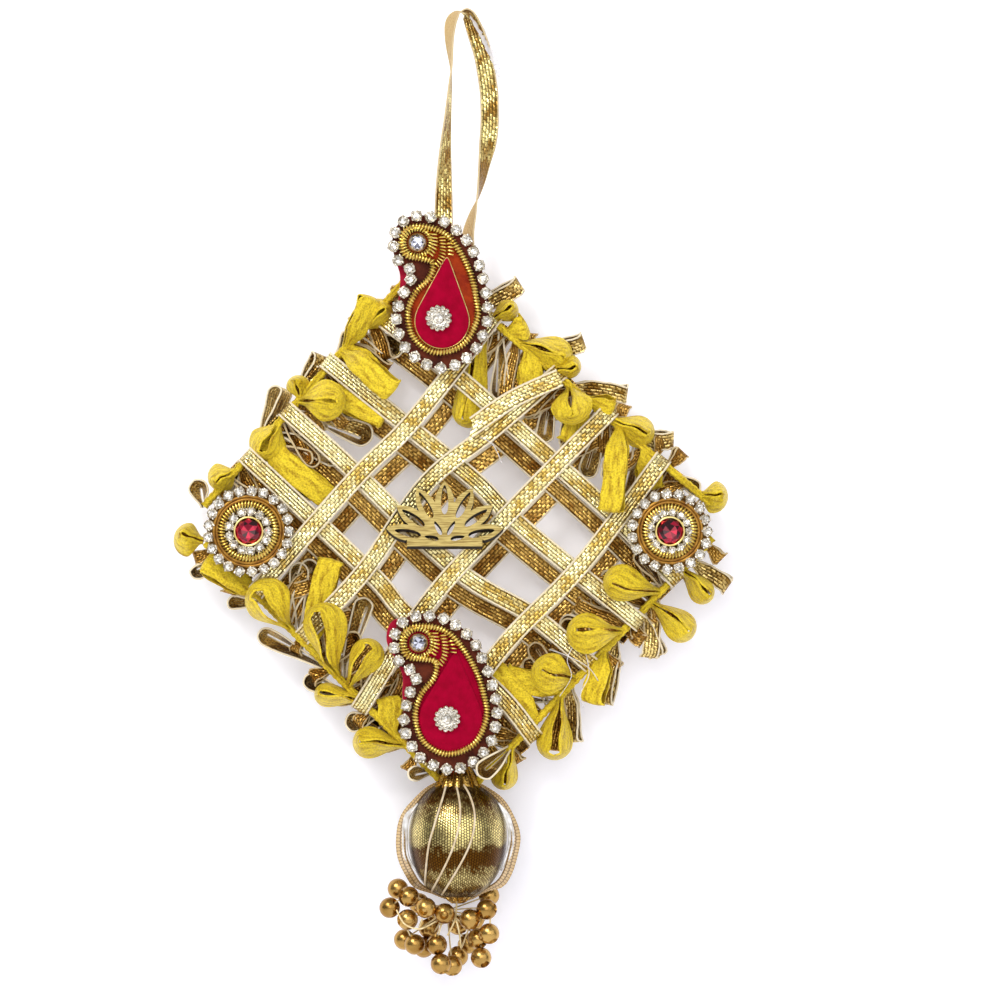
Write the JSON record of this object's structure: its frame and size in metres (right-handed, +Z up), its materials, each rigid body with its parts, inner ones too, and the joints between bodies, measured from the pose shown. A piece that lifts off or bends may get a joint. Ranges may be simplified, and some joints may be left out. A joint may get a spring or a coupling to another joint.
{
  "type": "shubh labh door hanging",
  "caption": "Diamond-shaped door hanging of looped ribbon with a woven lattice, paisley and round stone patches, a cut ornament, and a ribbon-wrapped ball with beads.",
  "frame": {"origin": "the place inside the top of the hanging loop that bears on a nail or hook", "axes": "+Z up as it hangs, +X to the right of someone who faces its front, +Y into the door"},
  "size_m": [0.1348, 0.0244, 0.2315],
  "materials": {
    "satin": "yellow satin ribbon with a soft sheen",
    "gota_loops": "woven metallic gold ribbon with raised cream edges, bent into loops",
    "gota_ribbon": "woven metallic gold ribbon with raised cream edges, laid flat",
    "red_felt": "matt crimson felt",
    "brown_felt": "matt maroon-brown felt",
    "red_velvet": "smooth crimson short-pile cloth",
    "coil_cord": "coiled gold wire thread over a cord",
    "clear_stone": "faceted clear stones in silver-coloured cups",
    "ruby_stone": "faceted red stone in a gold-coloured bezel",
    "cut_board": "cut fibre board with a brushed pale-gold face and dark edges",
    "mesh_ribbon": "fine gold mesh ribbon",
    "gold_bead": "antique-gold coated plastic beads with a satin gloss"
  },
  "bodies": {
    "root": {"upper_left_satin_trim": "satin", "upper_left_gota_trim": "gota_loops", "upper_right_satin_trim": "satin", "upper_right_gota_trim": "gota_loops", "lower_right_satin_trim": "satin", "lower_right_gota_trim": "gota_loops", "lower_left_satin_trim": "satin", "lower_left_gota_trim": "gota_loops", "front_upper_1": "gota_ribbon", "front_upper_2": "gota_ribbon", "front_upper_3": "gota_ribbon", "front_upper_4": "gota_ribbon", "front_lower_1": "gota_ribbon", "front_lower_2": "gota_ribbon", "front_lower_3": "gota_ribbon", "front_lower_4": "gota_ribbon", "back_upper_1": "gota_ribbon", "back_upper_2": "gota_ribbon", "back_upper_3": "gota_ribbon", "back_upper_4": "gota_ribbon", "back_lower_1": "gota_ribbon", "back_lower_2": "gota_ribbon", "back_lower_3": "gota_ribbon", "back_lower_4": "gota_ribbon", "front_tail": "gota_ribbon", "hanging_loop": "gota_ribbon", "top_patch_felt": "red_felt", "top_patch_backing": "brown_felt", "top_patch_chain": "clear_stone", "top_patch_cord": "coil_cord", "top_patch_drop": "red_velvet", "top_patch_small_crystal": "clear_stone", "top_patch_round_crystal": "clear_stone", "bottom_patch_felt": "red_felt", "bottom_patch_backing": "brown_felt", "bottom_patch_chain": "clear_stone", "bottom_patch_cord": "coil_cord", "bottom_patch_drop": "red_velvet", "bottom_patch_small_crystal": "clear_stone", "bottom_patch_round_crystal": "clear_stone", "left_medallion_backing": "brown_felt", "left_medallion_outer_chain": "clear_stone", "left_medallion_inner_chain": "clear_stone", "left_medallion_cord": "coil_cord", "left_medallion_ruby": "ruby_stone", "right_medallion_backing": "brown_felt", "right_medallion_outer_chain": "clear_stone", "right_medallion_inner_chain": "clear_stone", "right_medallion_cord": "coil_cord", "right_medallion_ruby": "ruby_stone", "ornament": "cut_board", "ball": "mesh_ribbon", "ball_collar": "gota_loops", "ball_hoop": "mesh_ribbon", "bead_bunch": "gold_bead"}
  },
  "joints": []
}
